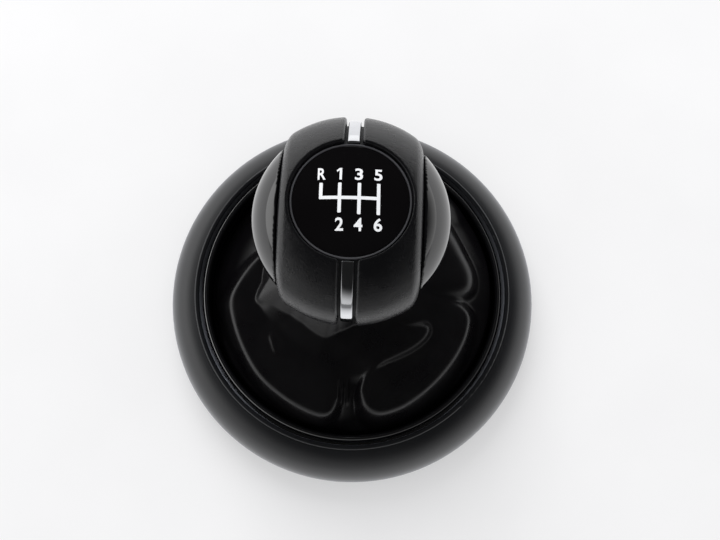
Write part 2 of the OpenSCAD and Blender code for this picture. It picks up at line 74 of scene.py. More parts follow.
def makeCamera():
    v = cameraView
    up, side = math.radians(v["elevation"]), math.radians(v["azimuth"])
    back = Vector((math.cos(up) * math.sin(side), -math.cos(up) * math.cos(side), math.sin(up)))
    right = Vector((math.cos(side), math.sin(side), 0))
    above = back.cross(right)
    perPixel = v["distance"] / v["focalPixels"]
    place = Vector(v["aim"]) + back * v["distance"]
    place += right * (v["middlePixel"][0] - v["aimPixel"][0]) * perPixel
    place += above * (v["aimPixel"][1] - v["middlePixel"][1]) * perPixel
    data = bpy.data.cameras.new("camera")
    data.sensor_width = v["sensor"]
    data.lens = v["sensor"] * v["focalPixels"] / v["frameWide"]
    data.clip_start, data.clip_end = 0.01, 10
    made = bpy.data.objects.new("camera", data)
    bpy.context.scene.collection.objects.link(made)
    made.matrix_world = Matrix((
        (right.x, above.x, back.x, place.x * mm),
        (right.y, above.y, back.y, place.y * mm),
        (right.z, above.z, back.z, place.z * mm),
        (0, 0, 0, 1),
    ))
    bpy.context.scene.camera = made


makeCamera()
bpy.context.scene.view_settings.view_transform = "Standard"
print("camera set")


# materials
def srgb(text):
    # hex colour as painted, to the linear values that the shader takes
    parts = [int(text[i:i + 2], 16) / 255 for i in (1, 3, 5)]
    return tuple(c / 12.92 if c <= 0.04045 else ((c + 0.055) / 1.055) ** 2.4 for c in parts) + (1,)


def perMetre(size):
    # texture scale for a pattern whose repeat is size millimetres
    return 1 / (size * mm)


def addNode(tree, kind, inputs=None, **settings):
    made = tree.nodes.new("ShaderNode" + kind)
    for key, value in settings.items():
        setattr(made, key, value)
    for key, value in (inputs or {}).items():
        if isinstance(value, bpy.types.NodeSocket):
            tree.links.new(value, made.inputs[key])
        else:
            made.inputs[key].default_value = value
    return made


def startMaterial(name, **values):
    made = bpy.data.materials.new(name)
    made.use_nodes = True
    tree = made.node_tree
    tree.nodes.clear()
    shader = addNode(tree, "BsdfPrincipled", {k.replace("_", " "): v for k, v in values.items()})
    addNode(tree, "OutputMaterial", {"Surface": shader.outputs[0]})
    return made, tree, shader, addNode(tree, "TexCoord").outputs["Object"]


def tintAndRoughness(tree, shader, field, colours, roughness, span=(0.35, 0.65)):
    # the same soft field moves colour and roughness a little, so that no face is one flat value
    share = addNode(tree, "MapRange", {0: field, 1: span[0], 2: span[1], 3: 0.0, 4: 1.0}).outputs[0]
    mixed = addNode(tree, "Mix", {0: share, 6: srgb(colours[0]), 7: srgb(colours[1])}, data_type="RGBA")
    rough = addNode(tree, "MapRange", {0: share, 1: 0.0, 2: 1.0, 3: roughness[0], 4: roughness[1]})
    tree.links.new(mixed.outputs[2], shader.inputs["Base Color"])
    tree.links.new(rough.outputs[0], shader.inputs["Roughness"])


def bumpFrom(tree, shader, height, depth, under=None):
    # depth in millimetres between the lowest and the highest value of the height field
    inputs = {"Height": height, "Distance": depth * mm}
    if under is not None:
        inputs["Normal"] = under
    tree.links.new(addNode(tree, "Bump", inputs).outputs[0], shader.inputs["Normal"])


def mouldedMaterial(name, colours, roughness, grain, depth, sheen=0.0, ior=1.5):
    # injection moulded plastic: an even body colour, a spark-eroded grain and a slow drift of gloss
    made, tree, shader, place = startMaterial(
        name, IOR=ior, Sheen_Weight=sheen, Sheen_Roughness=0.3, Sheen_Tint=srgb("#b4b8c2"))
    drift = addNode(tree, "TexNoise", {"Vector": place, "Scale": perMetre(23), "Detail": 3.0}).outputs[0]
    tintAndRoughness(tree, shader, drift, colours, roughness)
    if depth > 0:
        fine = addNode(tree, "TexNoise", {"Vector": place, "Scale": perMetre(grain), "Detail": 4.0}).outputs[0]
        bumpFrom(tree, shader, fine, depth)
    return made


def leatherMaterial(name, colours, roughness, cell, depth, wrinkle, sheen):
    # embossed skin: pebbles with fine valleys between them, finer pores, and slow creases over both
    made, tree, shader, place = startMaterial(
        name, IOR=1.5, Sheen_Weight=sheen, Sheen_Roughness=0.5, Sheen_Tint=srgb("#9a9aa2"))
    bend = addNode(tree, "TexNoise", {"Vector": place, "Scale": perMetre(cell * 2.6), "Detail": 2.0}).outputs[1]
    pushed = addNode(tree, "VectorMath", {0: bend, 1: (cell * mm * 0.9,) * 3}, operation="MULTIPLY").outputs[0]
    warped = addNode(tree, "VectorMath", {0: place, 1: pushed}, operation="ADD").outputs[0]
    pebbles = addNode(
        tree, "TexVoronoi", {"Vector": warped, "Scale": perMetre(cell)}, feature="DISTANCE_TO_EDGE").outputs[0]
    valley = addNode(tree, "MapRange", {0: pebbles, 1: 0.0, 2: 0.22, 3: 0.0, 4: 1.0},
                     interpolation_type="SMOOTHSTEP").outputs[0]
    pores = addNode(tree, "TexNoise", {"Vector": place, "Scale": perMetre(cell * 0.35), "Detail": 3.0}).outputs[0]
    both = addNode(tree, "Math", {0: valley, 1: addNode(
        tree, "Math", {0: pores, 1: 0.35}, operation="MULTIPLY").outputs[0]}, operation="ADD").outputs[0]
    slow = addNode(tree, "TexNoise", {"Vector": place, "Scale": perMetre(9), "Detail": 3.0}).outputs[0]
    tintAndRoughness(tree, shader, slow, colours, roughness)
    # fine wrinkles that run across the knob, where the skin is drawn tight
    across = addNode(tree, "Mapping", {"Vector": place, "Scale": (0.3, 1, 1)}).outputs[0]
    drawn = addNode(tree, "TexNoise", {"Vector": across, "Scale": perMetre(1.3), "Detail": 3.0}).outputs[0]
    creased = addNode(tree, "Bump", {"Height": drawn, "Distance": wrinkle * mm}).outputs[0]
    bumpFrom(tree, shader, both, depth, under=creased)
    return made


def metalMaterial(name, colours, roughness, grain, depth, stretch=(1, 1, 1)):
    # plated or turned metal: base colour is the reflection's tint, lines or haze from its finishing
    made, tree, shader, place = startMaterial(name, Metallic=1.0)
    lines = addNode(tree, "Mapping", {"Vector": place, "Scale": stretch}).outputs[0]
    field = addNode(tree, "TexNoise", {"Vector": lines, "Scale": perMetre(grain), "Detail": 4.0}).outputs[0]
    tintAndRoughness(tree, shader, field, colours, roughness)
    if depth > 0:
        bumpFrom(tree, shader, field, depth)
    return made


finishes = {
    # soft-touch lacquer on ABS: satin, black from above and paler where it turns to the horizon
    "softTouchAbs": mouldedMaterial(
        "abs_soft_touch_lacquered", ("#0d0e11", "#111215"), (0.33, 0.37), 0.35, 0.003, 0.5, 1.55),
    # high-gloss ABS from a polished mould: a clear mirror that shows only a faint haze; its index is above the
    # plastic's own, for the brightness of the photo
    "glossAbs": mouldedMaterial("abs_high_gloss_moulded", ("#060607", "#08080a"), (0.04, 0.07), 30, 0.0, 0.0, 1.7),
    # ABS under a thick clear lacquer: the bezel, with the brightest edge lines, its index raised still further
    "lacquered": mouldedMaterial("abs_clear_lacquered", ("#060607", "#08080a"), (0.06, 0.09), 30, 0.0, 0.0, 2.5),
    # satin ABS, coloured greyer: the rim round the lens, its light grey a painted highlight in place of the leather's
    # bright turned edge
    "satinAbsPaintedHighlight": mouldedMaterial("abs_satin_painted_highlight", ("#3c3c3f", "#48484c"), (0.38, 0.46), 2.0, 0.01),
    # black ABS with a spark-eroded grain, as on hidden mouldings
    "grainAbs": mouldedMaterial("abs_black_spark_eroded", ("#1f2022", "#27282a"), (0.5, 0.62), 0.5, 0.03),
    # glass-filled polyamide: a little rougher and greyer
    "polyamide": mouldedMaterial("polyamide_glass_filled_moulded", ("#2a2b2d", "#343537"), (0.5, 0.66), 0.4, 0.04),
    # nitrile rubber: dull black with almost no highlight
    "rubber": mouldedMaterial("rubber_nitrile_moulded", ("#161616", "#1e1e1e"), (0.72, 0.86), 0.8, 0.04),
    # clear-coated black polycarbonate, polished: the badge's lens
    "lensBlack": mouldedMaterial(
        "polycarbonate_black_polished", ("#070607", "#090809"), (0.03, 0.05), 30, 0.0, 0.0, 1.58),
    # nappa leather drawn over the half shells: fine pebbles, soft sheen; cells drawn a little coarse to show
    "nappa": leatherMaterial("nappa_leather_drawn", ("#09090b", "#0d0d0f"), (0.24, 0.3), 0.62, 0.02, 0.05, 0.04),
    # embossed PVC leatherette: smoother and shinier than the leather
    "leatherette": leatherMaterial(
        "pvc_leatherette_embossed", ("#070608", "#0a090b"), (0.27, 0.33), 0.55, 0.005, 0.01, 0.0),
    # bright chrome plating on ABS
    "chrome": metalMaterial("chrome_plated_polished", ("#d6d7da", "#dfe0e3"), (0.05, 0.09), 6, 0.0),
    # die-cast zinc, turned inside
    "castZinc": metalMaterial("zinc_die_cast", ("#8f9296", "#a2a5a8"), (0.32, 0.45), 0.7, 0.02),
    # bright zinc plating on steel screws
    "zincSteel": metalMaterial("steel_zinc_plated", ("#a9adb3", "#bcc0c4"), (0.22, 0.35), 1.2, 0.01),
    # tempered spring steel, blue-grey and oiled
    "springSteel": metalMaterial("spring_steel_tempered", ("#75787d", "#8b8e92"), (0.25, 0.38), 1.0, 0.01, (1, 1, 6)),
    # white pad-printing ink on the lens
    "whiteInk": mouldedMaterial("ink_white_pad_printed", ("#e6e8ec", "#f0f1f3"), (0.35, 0.45), 0.3, 0.004),
}

cadFinishes = {
    "softTouchAbs": ["trim_ring"],
    "lacquered": ["bezel_ring"],
    "glossAbs": ["left_cheek", "right_cheek"],
    "polyamide": ["gaiter_frame", "left_shell", "right_shell"],
    "grainAbs": ["neck_shroud", "knob_core", "gaiter_tie", "badge_holder"],
    "zincSteel": ["frame_screws"],
    "springSteel": ["console_clips", "retaining_spring"],
    "castZinc": ["lever_insert"],
    "rubber": ["damper_bush"],
    "lensBlack": ["badge_lens"],
    "nappa": ["left_leather", "right_leather"],
    "leatherette": ["gaiter"],
    "chrome": ["front_strip", "rear_strip"],
}
for finish, names in cadFinishes.items():
    for name in names:
        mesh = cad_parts[name].data
        if not mesh.materials:
            mesh.materials.append(finishes[finish])
        for index in range(len(mesh.materials)):
            mesh.materials[index] = finishes[finish]
print("materials set on the CAD nodes")


# mesh helpers
def makePiece(name, points, faces, finish, body=None, replaced=()):
    mesh = bpy.data.meshes.new(name)
    mesh.from_pydata([tuple(p) for p in points], [], [tuple(f) for f in faces])
    mesh.validate()
    mesh.materials.append(finishes[finish])
    mesh.shade_smooth()
    made = bpy.data.objects.new(name, mesh)
    bpy.context.scene.collection.objects.link(made)
    if body:
        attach(made, body)
    if replaced:
        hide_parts(*replaced)
    return made


def makePair(points, faces, mirror, names, finish, nodes):
    # the same mesh on two sides of the knob, mirrored for the second
    for name, node, flip in zip(names, nodes, ((1, 1, 1), mirror)):
        turned = faces if flip == (1, 1, 1) else faces[:, ::-1]
        makePiece(name, onLever(points * flip), turned, finish, "knob", [node])


def lathe(profile, around):
    # closed profile of (radius, height) in mm, turned about the z axis
    profile = np.asarray(profile, float)
    turn = np.arange(around) * 2 * math.pi / around
    points = [(r * math.cos(a), r * math.sin(a), z) for a in turn for r, z in profile]
    rows = len(profile)
    faces = []
    for i in range(around):
        for k in range(rows - 1):
            a, b = i * rows + k, ((i + 1) % around) * rows + k
            faces.append((a, b, b + 1, a + 1))
    return points, faces


def surfaceNet(shape, low, high, step):
    # meshes the surface where shape() is zero: a point in each grid cell it crosses, a quad for each crossed edge
    axes = [np.arange(low[i] - step, high[i] + 2 * step, step) for i in range(3)]
    grid = np.stack(np.meshgrid(*axes, indexing="ij"), -1)
    inside = (shape(grid.reshape(-1, 3)) < 0).reshape(grid.shape[:3])
    size = [n - 1 for n in inside.shape]
    corners = sum(
        inside[i:i + size[0], j:j + size[1], k:k + size[2]].astype(int)
        for i in (0, 1) for j in (0, 1) for k in (0, 1))
    crossed = (corners > 0) & (corners < 8)
    cells = np.full(size, -1)
    cells[crossed] = np.arange(crossed.sum())
    points = grid[:-1, :-1, :-1][crossed] + step / 2
    faces = []
    for axis in range(3):
        near, far = [slice(None)] * 3, [slice(None)] * 3
        near[axis], far[axis] = slice(0, -1), slice(1, None)
        first, second = inside[tuple(near)], inside[tuple(far)]
        edges = np.argwhere(first != second)
        one, two = (axis + 1) % 3, (axis + 2) % 3
        stepOne, stepTwo = np.eye(3, dtype=int)[one], np.eye(3, dtype=int)[two]
        ring = [edges, edges - stepOne, edges - stepOne - stepTwo, edges - stepTwo]
        quad = np.stack([cells[tuple(e.T)] for e in ring], 1)
        outward = first[tuple(edges.T)]
        quad[~outward] = quad[~outward][:, ::-1]
        faces.append(quad)
    faces = np.concatenate(faces)
    pairs = np.concatenate([faces[:, [i, (i + 1) % 4]] for i in range(4)])
    for turn in range(5):
        for settle in range(3 if turn == 4 else 1):
            points = ontoShape(shape, points, step)
        if turn < 4:
            points = relaxed(points, pairs)
    return points, faces


def ontoShape(shape, points, step):
    small = 0.01
    value = shape(points)
    slope = np.stack([
        (shape(points + small * axis) - shape(points - small * axis)) / (2 * small) for axis in np.eye(3)], 1)
    move = (value / np.maximum((slope ** 2).sum(1), 0.05))[:, None] * slope
    return points - np.clip(move, -step, step)


def relaxed(points, pairs):
    total, count = np.zeros_like(points), np.zeros(len(points))
    for a, b in (pairs.T, pairs[:, ::-1].T):
        np.add.at(total, a, points[b])
        np.add.at(count, a, 1)
    return points * 0.5 + total / count[:, None] * 0.5


def ovalDistance(p, side, top, bottom, arc):
    # signed distance in mm to the CAD source's oval turned about z, with the meeting of its arcs eased for the gloss
    return np.mean([arcsDistance(p, side, top, bottom, arc + more) for more in (-1.6, -0.8, 0, 0.8, 1.6)], 0)


def arcsDistance(p, side, top, bottom, arc):
    r, up = np.hypot(p[:, 0], p[:, 1]), np.abs(p[:, 2])
    reach = np.where(p[:, 2] >= 0, top, bottom)
    crown = ((side - arc) ** 2 + reach ** 2 - arc ** 2) / (2 * (reach - arc))
    onSide = np.hypot(r - (side - arc), up) - arc
    onCrown = np.hypot(r, up - (reach - crown)) - crown
    above = (side - arc) * (up - (reach - crown)) - (crown - reach) * r > 0
    return np.where(above, onCrown, onSide)


def roundMax(a, b, radius):
    # what two shapes share, with their common edge rounded
    u, v = np.maximum(a + radius, 0), np.maximum(b + radius, 0)
    return np.minimum(-radius, np.maximum(a, b)) + np.hypot(u, v)


# leather halves of the band
band = {
    "side": 29, "top": 20.4, "bottom": 25, "arc": 14.4, "half": 18.8, "edge": 2.4,
    "slotHalf": 2.4, "slotEdge": 0.9, "badgeR": 16, "badgeEdge": 0.75, "neckR": 13.3, "depth": 2.35,
    "step": 0.42,
}


def leatherShape(p):
    b = band
    oval = ovalDistance(p, b["side"], b["top"], b["bottom"], b["arc"])
    f = roundMax(oval, p[:, 0] - b["half"], b["edge"])
    f = roundMax(f, b["slotHalf"] - p[:, 0], b["slotEdge"])
    r = np.hypot(p[:, 0], p[:, 1])
    f = roundMax(f, np.where(p[:, 2] > 0, b["badgeR"], b["neckR"]) - r, b["badgeEdge"])
    return roundMax(f, -(oval + b["depth"]), 0.3)


leatherPoints, leatherFaces = surfaceNet(
    leatherShape, (1, -band["side"], -band["bottom"]), (band["half"], band["side"], band["top"]), band["step"])
makePair(leatherPoints, leatherFaces, (-1, 1, 1), ("right_leather_skin", "left_leather_skin"), "nappa",
         ("right_leather", "left_leather"))
print("leather halves:", len(leatherFaces), "faces each")

# bezel: the CAD's ring, its bead drawn as a moulded edge with a sloping face between two small rounds
bezel = {
    "wallIn": 48.2, "wallOut": 49.8, "low": 7.6, "flangeR": 56, "thick": 1.6, "holes": 6, "holesR": 53, "holeR": 1.5,
    "edge": [(49.8, 22.5), (49.76, 22.85), (49.6, 23.12), (48.98, 23.66), (48.7, 23.8), (48.35, 23.74), (48.0, 23.5),
             (47.72, 23.15), (47.62, 22.75), (47.75, 22.35), (48.2, 21.9)],
}


def makeBezel():
    b = bezel
    low, high = b["low"], b["low"] + b["thick"]
    profile = [(b["wallIn"], low), (b["flangeR"], low), (b["flangeR"], high), (b["wallOut"], high)] + b["edge"]
    points, faces = lathe(profile + profile[:1], 240)
    work = bmesh.new()
    verts = [work.verts.new(Vector(p) * mm) for p in points]
    for face in faces:
        work.faces.new([verts[i] for i in face])
    bmesh.ops.remove_doubles(work, verts=work.verts[:], dist=1e-7)
    bmesh.ops.recalc_face_normals(work, faces=work.faces[:])
    mesh = bpy.data.meshes.new("bezel_moulded")
    work.to_mesh(mesh)
    work.clear()
    for index in range(b["holes"]):
        angle = index * 2 * math.pi / b["holes"]
        place = Matrix.Translation(Vector((b["holesR"] * math.cos(angle), b["holesR"] * math.sin(angle), low)) * mm)
        bmesh.ops.create_cone(work, cap_ends=True, segments=32, radius1=b["holeR"] * mm, radius2=b["holeR"] * mm,
                              depth=4 * b["thick"] * mm, matrix=place)
    drills = bpy.data.objects.new("drills", bpy.data.meshes.new("drills"))
    work.to_mesh(drills.data)
    work.free()
    made = bpy.data.objects.new("bezel_moulded", mesh)
    for held in (made, drills):
        bpy.context.scene.collection.objects.link(held)
    cut = made.modifiers.new("holes", "BOOLEAN")
    cut.object, cut.operation, cut.solver = drills, "DIFFERENCE", "EXACT"
    bpy.context.view_layer.update()
    solid = bpy.data.meshes.new_from_object(made.evaluated_get(bpy.context.evaluated_depsgraph_get()))
    points = [tuple(v.co) for v in solid.vertices]
    faces = [tuple(p.vertices) for p in solid.polygons]
    bpy.data.objects.remove(made)
    bpy.data.objects.remove(drills)
    piece = makePiece("bezel_gloss", points, faces, "lacquered", "trim", ["bezel_ring"])
    piece.data.set_sharp_from_angle(angle=math.radians(40))
    print("bezel:", len(faces), "faces")


makeBezel()

# glossy cheeks
cheek = {"side": 27, "top": 19.5, "bottom": 23, "arc": 15, "from": 19, "edge": 0.4, "wall": 2.2, "step": 0.4}


def cheekShape(p):
    c = cheek
    oval = ovalDistance(p, c["side"], c["top"], c["bottom"], c["arc"])
    f = roundMax(oval, c["from"] - p[:, 0], c["edge"])
    return np.maximum(f, -np.maximum(oval + c["wall"], c["from"] + c["wall"] - p[:, 0]))


cheekPoints, cheekFaces = surfaceNet(
    cheekShape, (cheek["from"], -cheek["side"], -cheek["bottom"]), (cheek["side"], cheek["side"], cheek["top"]),
    cheek["step"])
makePair(cheekPoints, cheekFaces, (-1, 1, 1), ("right_cheek_moulded", "left_cheek_moulded"), "glossAbs",
         ("right_cheek", "left_cheek"))
print("cheeks:", len(cheekFaces), "faces each")

# metal strips
strip = {"half": 1.7, "sunk": 1.0, "thick": 1.2, "drop": 13, "start": 16.0, "bevel": 0.42, "step": 0.2}


def stripShape(p):
    s, b = strip, band
    oval = ovalDistance(p, b["side"], b["top"], b["bottom"], b["arc"])
    crowned = oval + s["sunk"] + 0.05 * (p[:, 0] / s["half"]) ** 2
    f = roundMax(crowned, np.abs(p[:, 0]) - s["half"], s["bevel"])
    f = roundMax(f, np.maximum(-s["drop"] - p[:, 2], s["start"] - p[:, 1]), s["bevel"])
    return roundMax(f, -(oval + s["sunk"] + s["thick"]), 0.1)


stripPoints, stripFaces = surfaceNet(
    stripShape, (-strip["half"], strip["start"], -strip["drop"]), (strip["half"], band["side"], band["top"]),
    strip["step"])
makePair(stripPoints, stripFaces, (1, -1, 1), ("rear_strip_plated", "front_strip_plated"), "chrome",
         ("rear_strip", "front_strip"))
print("strips:", len(stripFaces), "faces each")

# badge: holder rim, lens and the printed gate pattern
badge = {
    "lensR": 15, "edgeZ": 15.2, "rise": 2, "pocketZ": 10.8, "floor": 1.4, "holderR": 15.6, "gap": 0.1,
    "lensEdge": 0.35, "lensFoot": 0.2, "rimSoft": 0.15, "inkLift": 0.05, "turn": 1.2,
    # radius of the small opening at the poles, which keeps the lathe's faces four-sided
    "pole": 0.0005,
}
lensBall = (badge["lensR"] ** 2 + badge["rise"] ** 2) / (2 * badge["rise"])
lensMiddle = badge["edgeZ"] + badge["rise"] - lensBall


def arcPoints(r, z, radius, angles):
    # points of a profile on a circle round (r, z), the angles counted from its outer side upward
    return [(r + radius * math.cos(a), z + radius * math.sin(a)) for a in angles]


def lensProfile():
    # from the pole down the dome, round its edge and back under it
    b = badge
    edge, side = b["lensEdge"], b["lensR"]
    inner = lensBall - edge
    cornerR = side - edge
    cornerZ = lensMiddle + math.sqrt(inner ** 2 - cornerR ** 2)
    tilt = math.atan2(cornerR, cornerZ - lensMiddle)
    dome = [(lensBall * math.sin(a), lensMiddle + lensBall * math.cos(a)) for a in np.linspace(b["pole"], tilt, 40)]
    bend = arcPoints(cornerR, cornerZ, edge, np.linspace(math.pi / 2 - tilt, 0, 9)[1:])
    low, foot = b["pocketZ"] + b["floor"] + b["gap"], b["lensFoot"]
    return dome + bend + [(side, low + foot), (side - foot, low), (b["pole"], low)]


def holderProfile():
    b = badge
    low, top, outer = b["pocketZ"] + b["gap"], b["edgeZ"], b["holderR"]
    inner, soft, pole = b["lensR"] + b["gap"], b["rimSoft"], b["pole"]
    lip = arcPoints(outer - soft, top - soft, soft, np.linspace(0, math.pi / 2, 5))
    back = arcPoints(inner + soft, top - soft, soft, np.linspace(math.pi / 2, math.pi, 5))
    return [(pole, low), (outer, low)] + lip + back + [(inner, low + b["floor"]), (pole, low + b["floor"])]


for name, profile, finish, node, slot in (
        ("badge_lens_domed", lensProfile()[::-1], "lensBlack", "badge_lens", "gloss_black"),
        # the holder rim's light grey is a painted highlight for the leather's turned edge
        ("badge_holder_rim", holderProfile(), "satinAbsPaintedHighlight", "badge_holder", "black_plastic")):
    points, faces = lathe(profile, 160)
    makePiece(name, onLever(points), faces, finish, "knob", [node])

# millimetres on the lens, seen from above: each gate's x, its ends, and the numbers' middles and sizes
pattern = {
    "strokeHalf": 0.44, "barY": 0.0,
    "gates": [(-7.62, 3.6, 0.0), (-2.85, 3.62, -3.55), (2.12, 3.64, -3.9), (7.02, 3.64, -3.88)],
    "marks": [
        ("R", -7.55, 6.55, 2.05, 3.3), ("1", -3.05, 6.55, 1.35, 3.3), ("3", 1.95, 6.5, 2.05, 3.3),
        ("5", 6.9, 6.5, 2.05, 3.2),
        ("2", -2.75, -6.95, 2.1, 3.4), ("4", 2.0, -6.95, 2.2, 3.4), ("6", 7.0, -6.85, 2.15, 3.4),
    ],
}


def ontoLens(x, y):
    turned = math.radians(badge["turn"])
    px, py = x * math.cos(turned) - y * math.sin(turned), x * math.sin(turned) + y * math.cos(turned)
    ball = lensBall + badge["inkLift"]
    return np.column_stack([px, py, lensMiddle + np.sqrt(ball ** 2 - px ** 2 - py ** 2)])


def strokeMesh(x0, y0, x1, y1):
    # a bar with softly rounded ends, cut into short lengths so that it follows the dome
    half, length = pattern["strokeHalf"], math.hypot(x1 - x0, y1 - y0)
    ux, uy = (x1 - x0) / length, (y1 - y0) / length
    soft = half * 0.35
    between = np.linspace(-half + 2 * soft, length + half - 2 * soft, 24)
    s = np.concatenate([[-half, -half + soft], between, [length + half - soft, length + half]])
    wide = np.where((s <= -half) | (s >= length + half), half - soft, half)
    x = np.concatenate([x0 + ux * s - uy * wide, x0 + ux * s + uy * wide])
    y = np.concatenate([y0 + uy * s + ux * wide, y0 + uy * s - ux * wide])
    n = len(s)
    return x, y, [(i, n + i, n + i + 1, i + 1) for i in range(n - 1)]


def oneMesh(x, y, wide, high):
    # the font's numeral one is too thin to print: a stem with a short flag
    flat = np.array([(0.55, 0), (1, 0), (1, 1), (0.55, 1), (0, 0.8), (0.08, 0.66), (0.55, 0.8)]) - 0.5
    flat = flat * (wide, high) + (x, y)
    return flat[:, 0], flat[:, 1], [(0, 1, 2, 3, 6), (6, 3, 4, 5)]


def markMesh(text, x, y, wide, high):
    if text == "1":
        return oneMesh(x, y, wide, high)
    curve = bpy.data.curves.new("mark", "FONT")
    curve.body, curve.resolution_u, curve.offset = text, 8, 0.022
    held = bpy.data.objects.new("mark", curve)
    bpy.context.scene.collection.objects.link(held)
    bpy.context.view_layer.update()
    mesh = bpy.data.meshes.new_from_object(held.evaluated_get(bpy.context.evaluated_depsgraph_get()))
    bpy.data.objects.remove(held)
    flat = np.array([v.co[:2] for v in mesh.vertices])
    least, most = flat.min(0), flat.max(0)
    flat = (flat - (least + most) / 2) / (most - least) * (wide, high) + (x, y)
    faces = [tuple(p.vertices) for p in mesh.polygons]
    bpy.data.meshes.remove(mesh)
    return flat[:, 0], flat[:, 1], faces


def makePattern():
    parts = [strokeMesh(x, top, x, low) for x, top, low in pattern["gates"]]
    parts.append(strokeMesh(pattern["gates"][0][0], pattern["barY"], pattern["gates"][-1][0], pattern["barY"]))
    parts += [markMesh(*mark) for mark in pattern["marks"]]
    points, faces = [], []
    for x, y, cut in parts:
        start = sum(len(p) for p in points)
        points.append(ontoLens(x, y))
        faces += [[start + i for i in f] for f in cut]
    return makePiece("gate_pattern", onLever(np.concatenate(points)), faces, "whiteInk", "knob")


makePattern()
print("badge done")

# gaiter
gaiter = {
    "hemR": 47.9, "hemLow": 7.8, "hemTop": 13.5, "neckR": 12.8, "neckY": 6.18, "neckZ": 47.6, "sleeveTop": 53.4,
    "around": 400, "rows": 144, "thick": 0.9, "cutZ": 34.5,
    # height of the lower cloth at shares of the way from the hem to the neck
    "floor": [(0, 13.5), (0.02, 14.5), (0.06, 16), (0.12, 17.5), (0.22, 19.5), (0.36, 22), (0.5, 24.5), (0.62, 26.5),
              (1, 29)],
    # shares of the way over which the skin leaves the hem, and from where and over which it meets the neck
    "hemEase": 0.04, "neckFrom": 0.93, "neckEase": 0.07,
    # slow unevenness of a sewn skin: height, and turns and starts of the two waves
    "uneven": (0.16, 0.31, 1.3, 0.27, 0.4),
}
# folds that stand up from it: top height, edge rounding, steepness, sag inside, and the line that their edge's
# highlight follows, in mm
folds = {
    "collar": (29, 3, 1.7, 0, [
        (-26, -6), (-25, -16), (-20, -25), (-12, -31), (-5, -34), (-4.4, -45), (3.6, -45), (4.2, -36), (4.9, -31.9),
        (5.8, -29.3), (8.7, -26.2), (13.4, -22.7), (18.9, -20.1), (22.9, -17), (24.8, -14.5), (24.9, -11.5), (21, -5),
        (18, 8), (15, 20), (6, 27), (-8, 28), (-20, 22), (-26, 10)]),
    "frontLeft": (29.3, 3.4, 2.2, 0.3, [
        (-27, 12), (-31.9, 7.5), (-35.6, 1.9), (-38.5, -3.7), (-39, -7.1), (-37.8, -12), (-35.3, -18.4), (-31.5, -25.6),
        (-27.1, -31), (-21.2, -35.5), (-16.3, -38.4), (-11.4, -40.6), (-7.4, -41.6), (-4.9, -40.4), (-3.6, -37.1),
        (-3, -33.5), (-4, -28), (-10, -18), (-16, -6), (-18, 8)]),
    "frontRight": (29.6, 3.4, 2.2, 1.2, [
        (4.9, -32.5), (5, -35.4), (6.6, -38.8), (10, -40.4), (14, -39.4), (19.4, -36.8), (26.4, -31), (32.7, -23.5),
        (36.6, -16), (38.1, -10.2), (37.7, -7.4), (35.6, -5.2), (31.5, -3.5), (27.4, -2.7), (22, -2.2), (16, -7),
        (12, -18), (6.5, -26)]),
    "rearRight": (32, 8, 2.2, 0.4, [
        (22, -0.8), (28.6, -0.8), (33.4, 0), (36.6, 1.2), (37.3, 3.8), (36.6, 7.1), (34.9, 10.4), (31.9, 16.2),
        (27, 24), (20, 25), (16, 14)]),
    "rear": (28.4, 9, 0.9, 0.3, [
        (33, 24), (25, 35), (14, 41), (3, 42), (-8, 40), (-16, 35), (-21, 27), (-18, 16), (-6, 20), (6, 24), (18, 20)]),
}
# the collar stands higher at the right and lower at its front tip: where this starts in x, the width, the height
# that it gains or loses, where it starts in y, and the depth
collarTurns = [(-2, 12, 2.4, -30, 7), (-4, 9, -3, -28, -5), (13, 6, -2.6, -14, 5)]
# in front of these lines the collar falls toward the driver, by this much more for each millimetre
collarFalls = [(-24, 0.1), (-33, 0.48)]
# short creases: height, half width, the line; the second joins two folds into one line, and the last three are
# the gathers at the front seam
creases = [
    (0.8, 0.75, [(-25, -18), (-24, -20.8), (-23.2, -22.8)]),
    (0.6, 0.9, [(4.6, -34), (4.9, -31.9), (5.8, -29.3), (8.4, -26.4), (10.5, -24.9)]),
    (0.3, 0.42, [(-3, -31), (-3, -36.5)]), (0.36, 0.42, [(-1.5, -30.5), (-1.4, -38)]),
    (0.36, 0.42, [(0.2, -30.8), (0.1, -37.6)]),
]
# columns of the mesh lie closer together round this angle, where the gathers are
gathered = {"angle": -91, "reach": 6, "dense": 4.0}
# outline of the skin that the neck draws up: x, y, height, and how steeply the skin falls beyond it
shoulder = [
    (-26.1, 0.3, 35.6, 2), (-29.9, -6, 31, 1.4), (-24.8, -8.1, 32, 0.7), (-19, -11, 32.4, 0.5),
    (-14.9, -13.6, 32.8, 0.48), (-10.8, -16.6, 32.8, 0.48), (-7.6, -18.1, 33, 0.48), (-3.7, -16.2, 33.4, 0.48),
    (0.9, -13.9, 33.8, 0.48),
    (8, -10.5, 33.8, 0.48), (14, -6.5, 33.8, 0.48), (19, -2, 33, 0.48), (21, 3, 33, 0.48), (22, 8, 33, 0.48),
    (20.5, 15, 33.4, 0.6), (16, 21, 33.4, 0.7), (8, 25, 33.8, 0.7), (-1, 26, 33.8, 0.7), (-10, 25.5, 33.4, 0.8),
    (-18, 21.5, 34, 1.2), (-23.5, 14, 35.4, 1.8), (-25.5, 6, 36, 2)]


def smoothLoop(points, cuts):
    # closed outline through the points, corners eased by cutting them
    p = np.asarray(points, float)
    for turn in range(cuts):
        after = np.roll(p, -1, 0)
        p = np.stack([p * 0.75 + after * 0.25, p * 0.25 + after * 0.75], 1).reshape(-1, 2)
    return p


